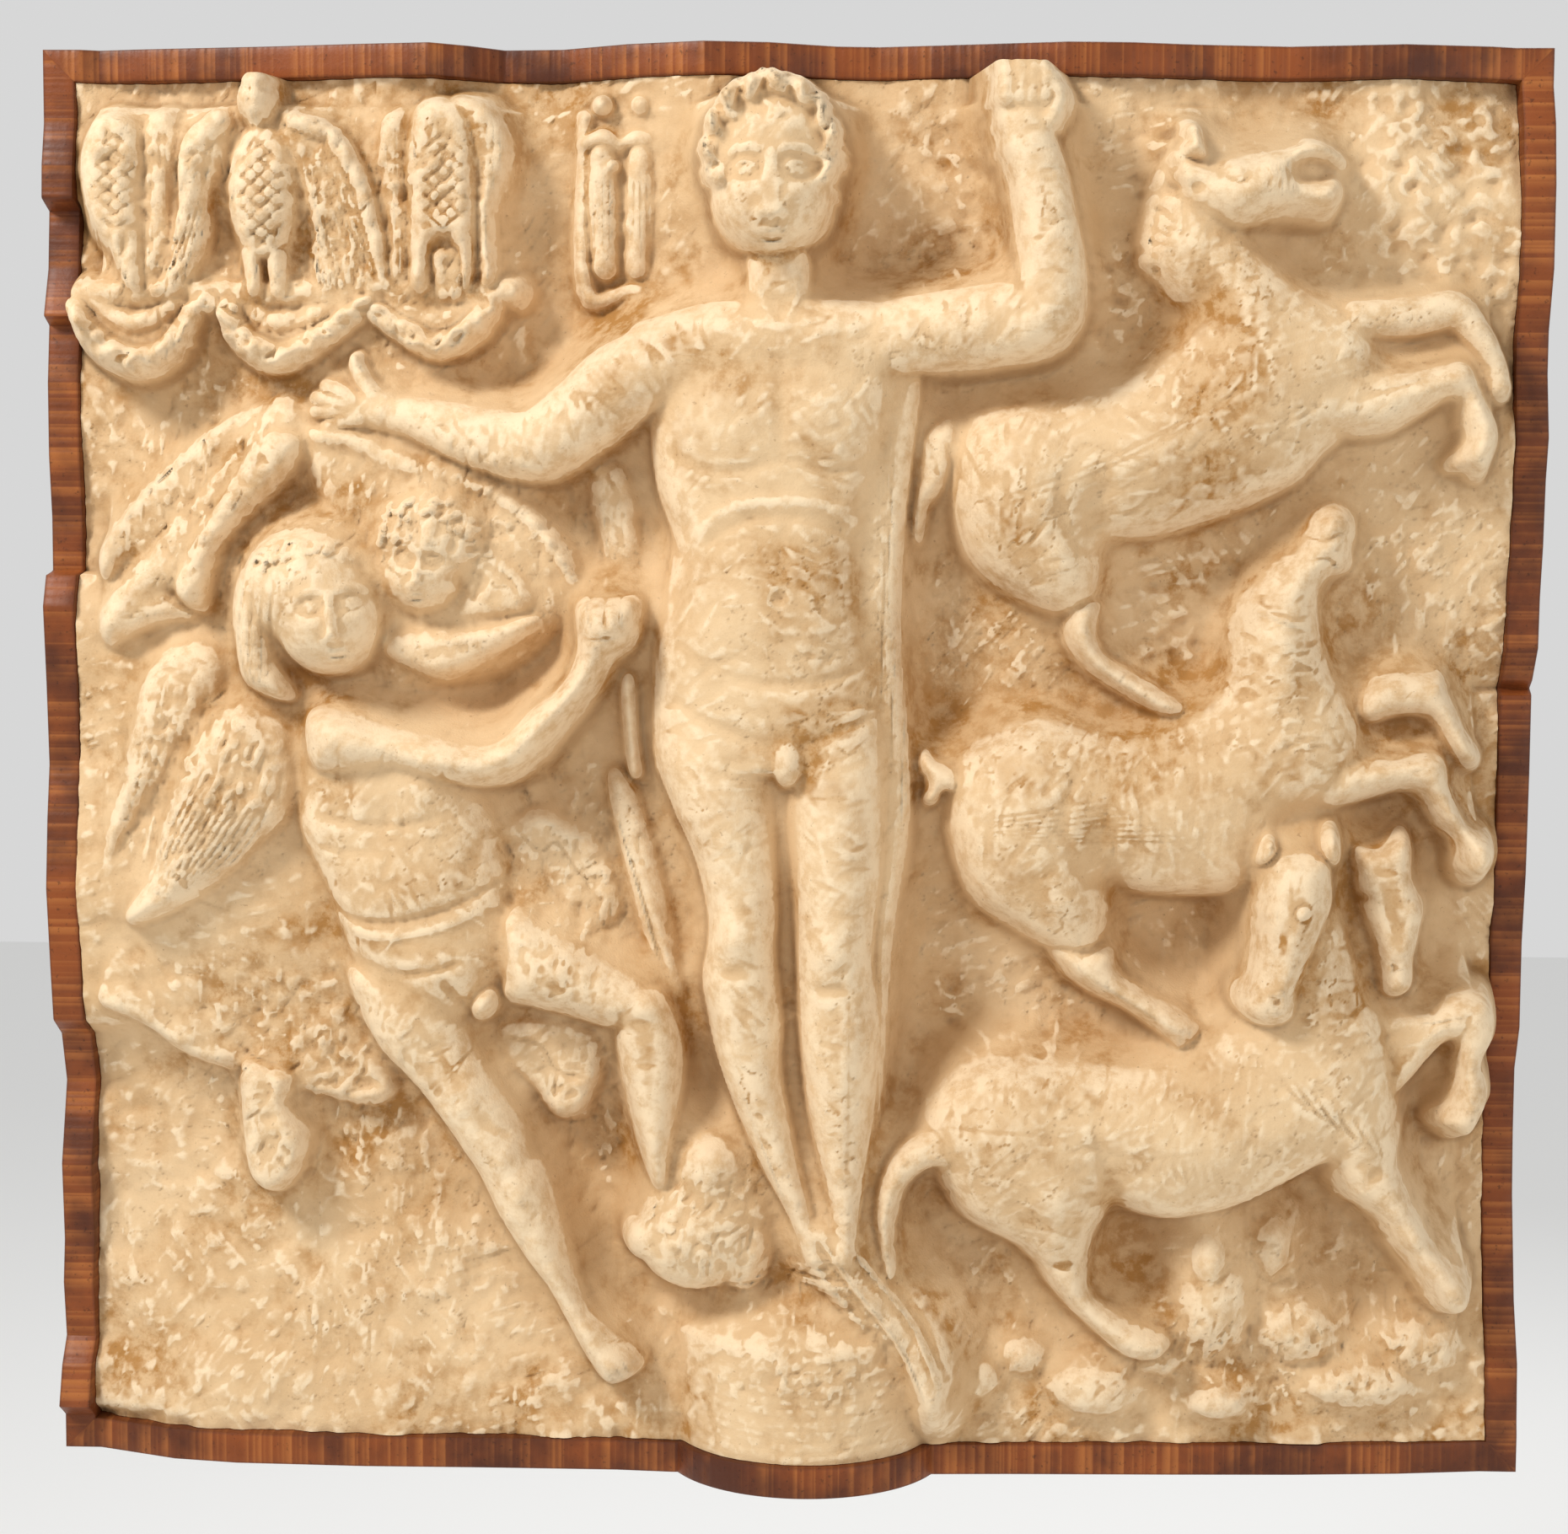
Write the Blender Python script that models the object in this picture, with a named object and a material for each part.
"""A square wall plaque: one modelled plaster relief in a frame of four walnut boards set on edge.

The back lies flat on the wall at y = 0, the front looks along -Y, and +Z is up.
"""

import math

import bmesh
import bpy
import numpy as np
from mathutils import Euler, Matrix, Vector

# Driving sizes of the plaque, in metres.
PLAQUE_WIDTH = 0.720
PLAQUE_HEIGHT = 0.688
FACE_DEPTH = 0.050
FIGURE_PROUD = 0.080
BOARD_THICKNESS = 0.0155
PLASTER_DROP = 0.0035
GAP = 0.0003

# The share of the modelled face's triangles that is kept.
FACE_KEPT = 0.038

# The relief is laid out on a drawing sheet, in millimetres, with its middle at the plaque's.
SHEET_WIDTH = 720.0
SHEET_HEIGHT = 688.0
SHEET_PROUD = 80.0

# The face is worked on a grid this fine; a form turns down into its side at RIM of its radius.
GRAIN = 3.0
GRAIN_X = SHEET_WIDTH / round(SHEET_WIDTH / GRAIN)
GRAIN_Z = SHEET_HEIGHT / round(SHEET_HEIGHT / GRAIN)
RIM = 0.92
SIDE_SLOPE = 3.0

# A place is counted in squares across and down the picture, and seen from this eye.
EYE = Vector((47.0, -1400.0, 115.0))
AIM = Vector((-1.5, 0.0, 1.2))
EYE_ROLL = -0.0052
EYE_REACH = 344.0
PICTURE_MIDDLE = (93.0, 91.0)

# The round drum that comes forward at the foot, on the sheet.
DRUM_X = 10.0
DRUM_RADIUS = 69.0
DRUM_PROUD = 55.0
DRUM_TOP = -272.0
DRUM_SIDES = (-51.0, 71.0)

# Where each board's front edge runs: place along the board, then height out of the face plane.
LEFT_EDGE = [(-344, -6), (-327, -6), (-320, 5), (-301, -1), (-288, -10), (-260, -6), (-239, -9), (-200, -6),
             (-160, -17), (-135, -9), (-126, 5), (-99, 9), (-60, 14), (-26, 10), (0, 5), (40, 8),
             (77, 12), (92, 6), (94, -6), (120, -6), (150, -2), (185, -2), (213, -6), (217, 3),
             (240, -6), (268, -9), (273, 4), (289, 3), (309, -2), (344, -2)]
RIGHT_EDGE = [(-344, -3), (-326, -3), (-320, -4), (-291, -6), (-262, -17), (-211, -27), (-180, -29),
              (-148, -29), (-126, -20), (-84, -20), (-50, -15), (0, -13), (38, -13), (41, -18),
              (45, -12), (61, -1), (85, 0), (110, 4), (141, 6), (161, 10), (191, 4), (211, 4),
              (240, 12), (279, 12), (308, 8), (326, 1), (344, 1)]
TOP_EDGE = [(-360, -2), (-342, -2), (-333, -5), (-311, -1), (-248, 7), (-207, 14), (-170, 19), (-152, 8),
            (-137, -5), (-109, -3), (-77, 13), (-40, 23), (-10, 19), (22, 6), (42, 4), (72, 9),
            (131, 20), (160, 18), (191, 11), (235, 5), (289, 12), (330, 5), (342, 1), (360, 1)]
FOOT_EDGE = [(-360, -6), (-342, -6), (-301, 10), (-269, 15), (-206, 17), (-143, 16), (-81, 16),
             (-54, 18)]
FOOT_EDGE_RIGHT = [(74, 15), (110, 13), (187, 10), (250, 7), (300, 3), (342, -3), (360, -3)]

PLASTER_COLOUR = (0.72, 0.55, 0.34, 1.0)
WALNUT_COLOUR = (0.16, 0.045, 0.018, 1.0)


def drum_front(x):
    """Height of the drum's round front over the face plane, on the sheet."""
    return DRUM_PROUD - DRUM_RADIUS + math.sqrt(max(DRUM_RADIUS**2 - (x - DRUM_X)**2, 0.0))


def foot_edge():
    """The lower board's front edge, which swells round the drum."""
    low, high = DRUM_SIDES
    arch = [low + (high - low) * step / 14 for step in range(15)]
    return FOOT_EDGE + [(x, drum_front(x)) for x in arch] + FOOT_EDGE_RIGHT


# Turns the sheet's millimetres into the plaque's metres.
DEPTH_SCALE = FIGURE_PROUD / SHEET_PROUD
SHEET = Matrix.Translation((0.0, -FACE_DEPTH, 0.0)) @ Matrix.Diagonal(
    (PLAQUE_WIDTH / SHEET_WIDTH, DEPTH_SCALE, PLAQUE_HEIGHT / SHEET_HEIGHT, 1.0))

AHEAD = (AIM - EYE).normalized()
LEVEL = AHEAD.cross(Vector((0, 0, 1))).normalized()
RIGHT = Matrix.Rotation(EYE_ROLL, 3, AHEAD) @ LEVEL
UP = RIGHT.cross(AHEAD)


def spot(across, down, proud):
    """The place on the sheet that is seen at a square, on a surface that far proud."""
    sight = AHEAD + RIGHT * (across - PICTURE_MIDDLE[0]) / EYE_REACH
    sight -= UP * (down - PICTURE_MIDDLE[1]) / EYE_REACH
    return EYE + sight * ((-proud - EYE.y) / sight.y)


def dome(ratio, radius, front, deep):
    """Height of a round form: a dome that turns into a sloping side at its rim."""
    top = front - deep + deep * np.sqrt(np.clip(1.0 - ratio**2, 0.0, None))
    rim = front - deep + deep * math.sqrt(1.0 - RIM**2)
    return np.where(ratio < RIM, top, rim - SIDE_SLOPE * radius * (ratio - RIM))


def smooth_path(stations):
    """Stations between the given ones, on a curve that runs through them all."""
    points = np.array(stations, dtype=float)
    padded = np.vstack([2 * points[0] - points[1], points, 2 * points[-1] - points[-2]])
    path = []
    for before, start, end, after in zip(padded, padded[1:], padded[2:], padded[3:]):
        for t in np.arange(0.0, 1.0, 0.2):
            path.append(0.5 * (2 * start + (end - before) * t
                               + (2 * before - 5 * start + 4 * end - after) * t**2
                               + (3 * start - 3 * end + after - before) * t**3))
    return path + [points[-1]]


class Relief:
    """Heights over a grid of places on the sheet, worked up form by form."""

    def __init__(self, level=-200.0):
        count_x = round(SHEET_WIDTH / GRAIN) + 1
        count_z = round(SHEET_HEIGHT / GRAIN) + 1
        self.across = np.linspace(-SHEET_WIDTH / 2, SHEET_WIDTH / 2, count_x)
        self.up = np.linspace(-SHEET_HEIGHT / 2, SHEET_HEIGHT / 2, count_z)
        self.height = np.full((count_z, count_x), level)

    def near(self, x, z, reach):
        """The rows and columns within reach of a place, and their places."""
        rows = slice(*np.searchsorted(self.up, (z - reach, z + reach)))
        columns = slice(*np.searchsorted(self.across, (x - reach, x + reach)))
        return (rows, columns), self.across[columns][None, :], self.up[rows][:, None]

    def lay(self, part, height, blend):
        """Raises a part of the face to new heights, with a fillet where they meet the old."""
        old = self.height[part]
        both = np.clip(blend - np.abs(old - height), 0.0, None)
        self.height[part] = np.maximum(old, height) + both**2 / (4 * blend)

    def mass(self, across, down, front, wide, deep, tall, lean=0.0, blend=4.0):
        """An egg-shaped form; lean turns it clockwise, in degrees."""
        middle = spot(across, down, front - deep / 2)
        reach = max(wide, tall) + (front + SHEET_PROUD) / SIDE_SLOPE
        part, x, z = self.near(middle.x, middle.z, reach)
        turn = math.radians(lean)
        side = (x - middle.x) * math.cos(turn) - (z - middle.z) * math.sin(turn)
        rise = (x - middle.x) * math.sin(turn) + (z - middle.z) * math.cos(turn)
        ratio = np.sqrt((side / wide)**2 + (rise / tall)**2)
        self.lay(part, dome(ratio, min(wide, tall), front, deep), blend)

    def limb(self, *stations, flat=1.0, blend=4.0):
        """A roll that tapers along stations of (across, down, front, radius)."""
        places = []
        for across, down, front, radius in smooth_path(stations):
            middle = spot(across, down, front - radius * flat / 2)
            places.append((middle.x, middle.z, front, radius))
        whole = Relief()
        for start, end in zip(places, places[1:]):
            long = math.hypot(end[0] - start[0], end[1] - start[1]) + 0.001
            reach = long / 2 + max(start[3], end[3]) + (SHEET_PROUD + front) / SIDE_SLOPE
            part, x, z = whole.near((start[0] + end[0]) / 2, (start[1] + end[1]) / 2, reach)
            run_x, run_z = (end[0] - start[0]) / long, (end[1] - start[1]) / long
            share = np.clip(((x - start[0]) * run_x + (z - start[1]) * run_z) / long, 0.0, 1.0)
            gap = np.hypot(x - start[0] - share * long * run_x, z - start[1] - share * long * run_z)
            radius = start[3] + (end[3] - start[3]) * share
            top = start[2] + (end[2] - start[2]) * share
            new = dome(gap / radius, radius, top, radius * flat)
            whole.height[part] = np.maximum(whole.height[part], new)
        self.lay(slice(None), whole.height, blend)


def along(edge, places):
    """Heights of an edge's outline at places along it."""
    return np.interp(places, *zip(*edge))


def lay_ground(relief):
    """The ground between the four edges, with its swells and hollows."""
    u = (relief.across / SHEET_WIDTH + 0.5)[None, :]
    v = (relief.up / SHEET_HEIGHT + 0.5)[:, None]
    foot = FOOT_EDGE + FOOT_EDGE_RIGHT
    left, right = (along(edge, relief.up)[:, None] for edge in (LEFT_EDGE, RIGHT_EDGE))
    low, high = (along(edge, relief.across)[None, :] for edge in (foot, TOP_EDGE))
    corners = ((left[0] * (1 - u) + right[0] * u) * (1 - v)
               + (left[-1] * (1 - u) + right[-1] * u) * v)
    ground = left * (1 - u) + right * u + low * (1 - v) + high * v - corners
    for across, down, wide, tall, rise in GROUND_SWELLS:
        middle = spot(across, down, 0.0)
        ground += rise * np.exp(-((relief.across[None, :] - middle.x) / wide)**2
                                - ((relief.up[:, None] - middle.z) / tall)**2)
    relief.height[:] = ground - PLASTER_DROP / DEPTH_SCALE


# Swells and hollows of the ground: across, down, half width, half height, rise.
GROUND_SWELLS = [(20, 100, 70, 90, 10), (20, 142, 60, 60, -10), (112, 75, 30, 60, -10),
                 (112, 120, 30, 50, -10), (62, 100, 40, 60, -6), (70, 30, 30, 50, -8),
                 (28, 22, 60, 45, -8), (50, 22, 34, 45, -8), (150, 15, 80, 30, -6),
                 (150, 72, 50, 18, -6), (150, 110, 50, 20, -6)]


def model_man(relief):
    """The standing man: head with a wreath of hair, open arms, body and legs to pointed feet."""
    relief.mass(92.6, 51.5, 60, 63, 52, 50)
    relief.mass(91.9, 67, 58, 55, 50, 62)
    relief.mass(91.6, 84, 56, 57, 48, 36)
    relief.limb((103.6, 47, 44, 26), (104, 70, 42, 25), (103.4, 98, 40, 26), flat=0.8)
    relief.mass(86.6, 49, 63, 30, 18, 24, blend=6)
    relief.mass(99.4, 49, 63, 30, 18, 24, blend=6)
    relief.mass(93.2, 72.4, 64, 40, 22, 36, blend=8)
    relief.limb((91.6, 29, 56, 17), (91.8, 38, 56, 19))
    relief.limb((78, 41.4, 52, 19), (91.5, 39.4, 58, 20), (106.5, 40.4, 54, 19), blend=8)
    relief.limb((77.4, 42, 52, 20), (69.4, 49.2, 52, 16), (61.4, 54.2, 50, 14.5),
                (54, 52.6, 42, 12), (47.4, 50, 34, 9.5), (43, 49.4, 30, 9))
    relief.limb((43, 49, 28, 6), (41.5, 46, 28, 4.5), (42.2, 43.6, 27, 3.4), flat=1.6)
    relief.limb((42.4, 50, 28, 7), (38.8, 49.6, 26, 5.5), (37.4, 46.6, 25, 4), flat=1.6)
    relief.limb((108, 39.8, 54, 18), (117, 40, 60, 19), (124.4, 38.6, 66, 17.5),
                (124.2, 30, 66, 16), (122.8, 20.6, 64, 13.5), (121.8, 14.4, 64, 15),
                (120.4, 8.6, 64, 11))
    relief.limb((85.2, 87, 56, 27), (86, 98, 58, 24), (86.8, 110.6, 58, 18.5),
                (89, 122, 54, 17), (91.4, 133, 50, 13.5), (94, 143, 50, 9), (94.6, 149, 56, 8))
    relief.limb((98.4, 88, 56, 28), (98.8, 100, 58, 26), (98.6, 112.6, 60, 21.5),
                (99.6, 123, 56, 21), (100.2, 134, 52, 17), (100.4, 143, 52, 12), (98, 150, 58, 9))
    relief.limb((101, 144, 46, 10), (107, 155, 44, 9), (112, 165, 34, 8))
    relief.mass(91.2, 17.4, 78, 33, 40, 41)
    relief.mass(91.3, 24, 80, 27, 40, 27, blend=8)
    for number in range(11):
        turn = math.radians(-110 + number * 22)
        relief.mass(91.2 + 9.0 * math.sin(turn), 17.4 - 9.6 * math.cos(turn), 68, 9, 22, 9)


def model_drum(relief):
    """The round drum under the feet and the boulder beside it."""
    radius = DRUM_RADIUS - PLASTER_DROP / DEPTH_SCALE
    inside = np.clip(radius**2 - (relief.across - DRUM_X)**2, 0.0, None)
    front = DRUM_PROUD - DRUM_RADIUS + np.sqrt(inside)[None, :]
    above = np.clip(relief.up - DRUM_TOP, 0.0, None)[:, None]
    relief.lay(slice(None), front - SIDE_SLOPE * above, 2.0)
    relief.mass(82.5, 146.5, 50, 30, 36, 30)
    relief.mass(84.2, 137, 46, 15, 24, 16)
    relief.mass(77.5, 146.5, 34, 15, 24, 15)


def model_winged_youth(relief):
    """The winged youth: wings, body, two arms, two legs and the head with its long hair."""
    relief.limb((27.4, 78.6, 26, 13), (22.6, 80.6, 27, 17), (18.4, 88, 24, 17),
                (13.6, 98, 17, 9), flat=0.8)
    for feather in range(6):
        relief.limb((31 + feather * 0.5, 88 + feather * 1.8, 38, 9),
                    (25 + feather * 0.4, 92.6 + feather * 2.4, 34, 8),
                    (14.6 + feather * 1.4, 103 + feather * 1.3, 24, 5), flat=0.8, blend=1.5)
    relief.limb((30.5, 124, 22, 10), (31.2, 133, 24, 9), (33, 140, 22, 10))
    relief.limb((46.6, 78, 32, 12), (55, 76, 36, 12), (64, 73.8, 36, 10))
    relief.mass(45.6, 92, 48, 45, 42, 36, lean=-12)
    relief.mass(48.6, 104, 48, 42, 42, 40, lean=-16)
    relief.mass(51.4, 113.6, 50, 38, 42, 26, lean=-8, blend=6)
    relief.limb((47.8, 116, 50, 28), (53, 126, 50, 25), (58.8, 136, 45, 18),
                (63.4, 146, 38, 14.5), (67.4, 155, 30, 8.5), (70.4, 159.6, 28, 8), (74.6, 163.4, 24, 7))
    relief.limb((60, 113.4, 46, 22), (69, 117, 53, 20), (76.8, 120.8, 60, 16),
                (77.4, 128, 48, 12), (78.6, 137, 38, 8))
    relief.limb((38, 79, 42, 15), (40, 85, 44, 16))
    relief.limb((38.6, 84.8, 50, 17), (47, 89.4, 56, 15.5), (57, 91.4, 60, 14.5),
                (63.8, 86, 60, 13.5), (69, 78.6, 58, 11), (72.6, 74, 58, 11))
    relief.limb((30.4, 68, 44, 12), (29.6, 76, 38, 9), (31.4, 83, 32, 6))
    relief.mass(33, 69.4, 58, 25, 36, 26)
    relief.mass(37.6, 70.4, 64, 30, 38, 30)
    relief.mass(38.2, 75.4, 64, 24, 38, 23, lean=-6)


def model_back_figure(relief):
    """The great wing, the second head with its cloak, and the draped and broken ground."""
    relief.limb((31, 53, 22, 18), (24, 61, 19, 16), (15, 70.4, 13, 10), flat=0.6)
    relief.limb((34.2, 51.6, 36, 9), (29, 60, 34, 9), (24, 70, 30, 8.5))
    relief.limb((21.3, 72.6, 16, 5), (12.6, 75, 14, 5))
    relief.limb((46, 53.6, 30, 8), (57, 58.6, 33, 8), (66, 65, 30, 8), (70, 72, 26, 7))
    relief.limb((58, 67, 34, 13), (63.6, 71.6, 32, 11), (67, 76, 26, 8))
    relief.mass(50.6, 64.4, 47, 30, 34, 28)
    relief.mass(49.6, 68.6, 46, 23, 32, 20)
    relief.limb((75, 76, 26, 7), (75.6, 90, 20, 7), (81, 113, 18, 7))
    relief.limb((63, 98, 14, 17), (71, 108, 14, 14), (79, 117, 16, 8), flat=0.7)
    relief.mass(67, 124, 18, 24, 22, 22)
    relief.limb((10, 117.5, 12, 8), (20, 119.6, 14, 8), (30, 123.6, 12, 8), flat=0.7)


def model_eagles(relief):
    """Three eagles on a ledge, with swags of leaves below and a small shrine beside them."""
    for across, down, wide, tall in ((13, 23.4, 15, 40), (30.8, 22.8, 18, 34), (52, 20, 19, 34)):
        relief.mass(across, down, 30, wide, 20, tall, blend=2)
    relief.mass(30.2, 10.8, 32, 8.5, 16, 9)
    wings = [((19.6, 14), (20, 33)), ((25.6, 14), (21.6, 33)), ((35, 14.4), (43.4, 33)),
             ((46.4, 14), (46.2, 32)), ((58.4, 13.6), (57.8, 33))]
    for (across, down), (tip_across, tip_down) in wings:
        relief.limb((across, down, 24, 11), (tip_across, tip_down, 20, 8), flat=0.7, blend=2)
    relief.limb((53.6, 27, 22, 5), (53.6, 34, 21, 4))
    relief.limb((31.6, 29, 24, 6), (31.8, 34, 21, 4))
    relief.limb((9.6, 35, 18, 6), (60, 34.6, 20, 6), flat=0.8)
    swags = [((8.8, 36.6), (16.2, 42), (23, 36.4)), ((27, 36.4), (34, 42.4), (43, 35.8)),
             ((44.6, 37), (51.6, 41.4), (58, 36))]
    for start, low, end in swags:
        relief.limb((*start, 23, 5.5), (*low, 28, 9.5), (*end, 23, 5.5))
    relief.mass(24.3, 36, 24, 6, 12, 6)
    for across in (71.3, 75.8):
        relief.limb((across, 14, 17, 5), (across, 31, 16, 6.5), flat=0.8)
    relief.limb((69.4, 18, 11, 3.5), (69.4, 34, 11, 3.5), (81, 34, 11, 3.5))


def model_upper_horse(relief):
    """The upper horse: rearing to the right, with its head thrown back."""
    relief.limb((161, 38, 34, 12), (172, 35.2, 29, 8.5), (176.6, 42, 26, 7))
    relief.limb((121.6, 58, 46, 38), (135, 53, 46, 37), (149, 45.6, 48, 36), (156, 42.4, 48, 31))
    relief.limb((151.6, 38, 50, 36), (145, 28.8, 50, 35), (143, 23, 50, 24))
    relief.limb((144, 21.2, 50, 18), (151, 20.4, 50, 16), (156.2, 19, 46, 11.5),
                (158.6, 18.8, 44, 9))
    relief.limb((150, 22.8, 46, 16), (156.4, 23.8, 42, 9), (157.6, 23.8, 42, 7.5))
    relief.limb((139.6, 19.4, 46, 7), (136, 27, 44, 7), (136.8, 33, 42, 7))
    relief.limb((112.6, 51.4, 28, 8), (109.4, 58, 26, 8), (107.8, 63, 22, 6))
    relief.limb((123, 63, 44, 28), (126.8, 70.6, 36, 16), (127.9, 76.4, 28, 9),
                (132, 80.4, 28, 8), (139.4, 83.6, 28, 7))
    relief.limb((157, 47, 44, 18), (164, 46.4, 38, 12), (174, 43.6, 34, 9.5),
                (176.6, 50, 28, 7.5), (175.8, 54.6, 28, 8))


def model_middle_horse(relief):
    """The middle horse: a small head drawn back over its neck."""
    relief.limb((160, 84, 32, 11), (170.2, 80.8, 29, 8), (175, 89.4, 25, 6.5))
    relief.limb((122, 95.2, 46, 38), (138, 95.8, 46, 39), (150, 93, 46, 36), (156, 89.6, 46, 30))
    relief.limb((151.6, 84, 44, 30), (151.8, 75, 43, 25), (155.2, 66.6, 41, 17),
                (157.4, 62.8, 40, 13))
    relief.limb((157.2, 62.6, 41, 13), (159, 67, 39, 9))
    relief.limb((110.8, 92, 24, 7), (115, 93.4, 26, 8))
    relief.limb((123.4, 102, 44, 27), (126.4, 109.6, 36, 15), (129, 114, 28, 9),
                (140.4, 122.2, 28, 7.5))
    relief.limb((155, 95, 42, 16), (163, 92.4, 37, 13), (171, 90.6, 34, 10.5),
                (173, 97, 28, 7.5), (175.4, 102, 28, 8))


def model_lower_horse(relief):
    """The lower horse with its lowered head, the head of a fourth horse, and the rocks below."""
    relief.limb((164.2, 102, 36, 14), (164.8, 109, 36, 13), (165, 115.8, 34, 11))
    relief.limb((165.6, 125, 28, 11), (175.4, 119.8, 25, 10), (174.2, 132, 22, 8), flat=0.8)
    relief.limb((119.8, 136, 46, 36), (130, 134.4, 48, 39), (141, 134.6, 48, 39),
                (154.6, 131.6, 48, 33))
    relief.limb((156, 126, 48, 31), (156.6, 114, 46, 25), (155.6, 105.6, 46, 20))
    relief.limb((154.6, 105.4, 60, 19), (152.8, 113, 61, 16), (150.8, 119.4, 60, 12.5))
    relief.limb((112.4, 138.8, 38, 9), (106, 139, 38, 7), (104.4, 143, 36, 7),
                (105.6, 148.4, 32, 6))
    relief.limb((125, 143, 44, 24), (127.6, 149.4, 36, 13), (132, 155, 32, 10),
                (138, 159.4, 30, 9))
    relief.limb((158.6, 135.6, 38, 16), (164.4, 142.6, 32, 12), (172, 153.4, 24, 8))
    for across, down, front, wide, tall in ((143.6, 154.6, 24, 18, 22), (116, 164.4, 22, 20, 12),
                                           (130, 165, 20, 24, 13), (144.4, 166.6, 22, 15, 9),
                                           (163, 164.4, 16, 28, 12)):
        relief.mass(across, down, front, wide, 26, tall)


def block(name, low, high, home):
    """A plain block between two corners."""
    middle = [(a + b) / 2 for a, b in zip(low, high)]
    bpy.ops.mesh.primitive_cube_add(size=1.0, location=middle)
    made = bpy.context.object
    made.name = name
    made.scale = [b - a for a, b in zip(low, high)]
    bpy.ops.object.transform_apply(location=True, rotation=True, scale=True)
    move_to(made, home)
    return made


def move_to(made, home):
    """Puts an object in one collection alone."""
    for other in list(made.users_collection):
        other.objects.unlink(made)
    home.objects.link(made)


def finish_name(name, colour, roughness):
    """A plain material of the part's colour."""
    made = bpy.data.materials.new(name)
    made.use_nodes = True
    shader = made.node_tree.nodes["Principled BSDF"]
    shader.inputs["Base Color"].default_value = colour
    shader.inputs["Roughness"].default_value = roughness
    shader.inputs["Metallic"].default_value = 0.0
    return made


def make_relief(parts, tools):
    """The plaster in one piece: its modelled face, cut flat at the back and square at the sides."""
    relief = Relief()
    lay_ground(relief)
    for model in (model_eagles, model_back_figure, model_winged_youth, model_upper_horse,
                  model_middle_horse, model_lower_horse, model_drum, model_man):
        model(relief)

    face = bmesh.new()
    stand = Euler((math.radians(90), 0, 0)).to_matrix().to_4x4()
    spread = Matrix.Diagonal((SHEET_WIDTH / 2, SHEET_HEIGHT / 2, 1.0, 1.0))
    bmesh.ops.create_grid(face, x_segments=len(relief.across) - 1, y_segments=len(relief.up) - 1,
                          size=1.0, matrix=stand @ spread)
    front = face.verts[:]
    bmesh.ops.extrude_face_region(face, geom=face.faces[:], use_keep_orig=True)
    for vert in front:
        column = round((vert.co.x + SHEET_WIDTH / 2) / GRAIN_X)
        row = round((vert.co.z + SHEET_HEIGHT / 2) / GRAIN_Z)
        vert.co.y = -relief.height[row, column]
    bmesh.ops.transform(face, matrix=SHEET, verts=face.verts[:])
    for vert in face.verts[len(front):]:
        vert.co.y = FACE_DEPTH / 5
    bmesh.ops.recalc_face_normals(face, faces=face.faces[:])
    mesh = bpy.data.meshes.new("relief")
    face.to_mesh(mesh)
    face.free()
    plaster = bpy.data.objects.new("relief", mesh)
    parts.objects.link(plaster)
    mesh.materials.append(finish_name("plaster", PLASTER_COLOUR, 0.8))
    fewer = plaster.modifiers.new("fewer", "DECIMATE")
    fewer.ratio = FACE_KEPT

    inside = BOARD_THICKNESS + GAP
    side = PLAQUE_WIDTH / 2 - inside
    top = PLAQUE_HEIGHT / 2 - inside
    mould = block("mould", (-side, -FACE_DEPTH - FIGURE_PROUD * 2, -top), (side, 0.0, top), tools)
    mould.hide_render = True
    mould.display_type = "WIRE"
    cast = plaster.modifiers.new("cast", "BOOLEAN")
    cast.operation = "INTERSECT"
    cast.solver = "EXACT"
    cast.object = mould


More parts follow.
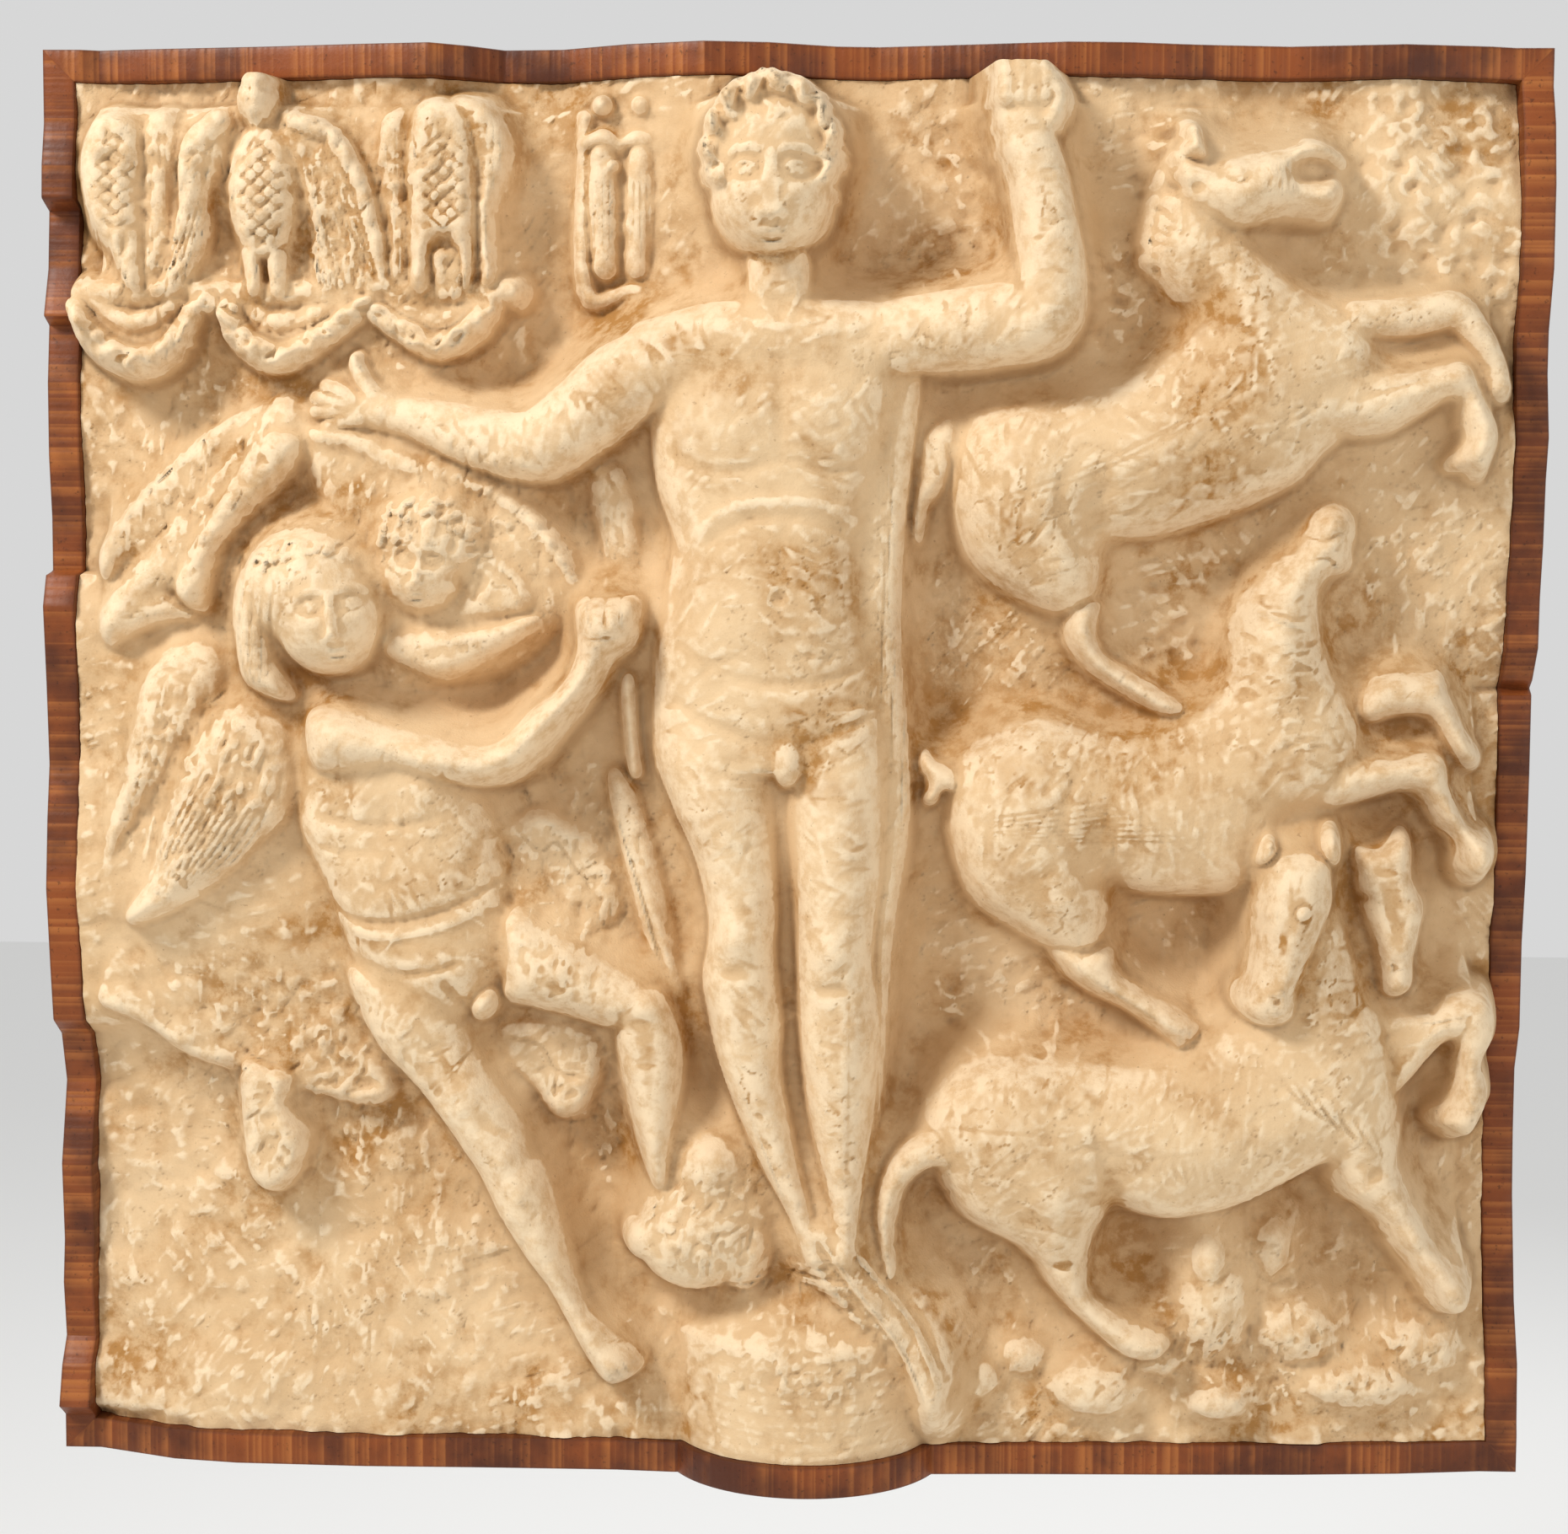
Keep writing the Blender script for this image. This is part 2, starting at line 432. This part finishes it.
def make_board(name, edge, length, offset, upright, parts, walnut):
    """One board on edge: its front edge follows an outline, and its ends are mitred."""
    stretch = length / (SHEET_HEIGHT if upright else SHEET_WIDTH)
    curve = bpy.data.curves.new(name, "CURVE")
    curve.dimensions = "2D"
    curve.fill_mode = "BOTH"
    curve.extrude = BOARD_THICKNESS / 2
    outline = [(place * stretch, -FACE_DEPTH - height * DEPTH_SCALE) for place, height in edge]
    outline += [(length / 2, 0.0), (-length / 2, 0.0)]
    line = curve.splines.new("POLY")
    line.points.add(len(outline) - 1)
    for point, (along, out) in zip(line.points, outline):
        point.co = (along, out, 0.0, 1.0)
    line.use_cyclic_u = True
    drawn = bpy.data.objects.new(name + "_outline", curve)
    parts.objects.link(drawn)
    if upright:
        drawn.rotation_euler = (0.0, math.radians(-90), 0.0)
        drawn.location.x = offset
    else:
        drawn.location.z = offset
    bpy.context.view_layer.update()
    drawn_now = drawn.evaluated_get(bpy.context.evaluated_depsgraph_get())
    mesh = bpy.data.meshes.new_from_object(drawn_now)
    mesh.transform(drawn.matrix_world)
    bpy.data.objects.remove(drawn)
    bpy.data.curves.remove(curve)

    shape = bmesh.new()
    shape.from_mesh(mesh)
    bmesh.ops.remove_doubles(shape, verts=shape.verts[:], dist=0.00001)
    lengthwise = 2 if upright else 0
    crosswise = 0 if upright else 2
    for vert in shape.verts:
        end = math.copysign(1.0, vert.co[lengthwise])
        if abs(vert.co[lengthwise]) > length / 2 - GAP:
            vert.co[lengthwise] = end * (length / 2 - GAP)
            if abs(vert.co[crosswise]) < abs(offset):
                vert.co[lengthwise] -= end * BOARD_THICKNESS
    bmesh.ops.recalc_face_normals(shape, faces=shape.faces[:])
    shape.to_mesh(mesh)
    shape.free()
    mesh.materials.clear()
    mesh.materials.append(walnut)
    parts.objects.link(bpy.data.objects.new(name, mesh))


def make_frame(parts):
    """The four walnut boards."""
    walnut = finish_name("walnut", WALNUT_COLOUR, 0.45)
    across = PLAQUE_WIDTH / 2 - BOARD_THICKNESS / 2
    up = PLAQUE_HEIGHT / 2 - BOARD_THICKNESS / 2
    make_board("frame_top", TOP_EDGE, PLAQUE_WIDTH, up, False, parts, walnut)
    make_board("frame_bottom", foot_edge(), PLAQUE_WIDTH, -up, False, parts, walnut)
    make_board("frame_left", LEFT_EDGE, PLAQUE_HEIGHT, -across, True, parts, walnut)
    make_board("frame_right", RIGHT_EDGE, PLAQUE_HEIGHT, across, True, parts, walnut)


for old in list(bpy.data.objects):
    bpy.data.objects.remove(old)
part_collection = bpy.data.collections.new("relief_plaque")
tool_collection = bpy.data.collections.new("cutters")
for collection in (part_collection, tool_collection):
    bpy.context.scene.collection.children.link(collection)
make_relief(part_collection, tool_collection)
make_frame(part_collection)
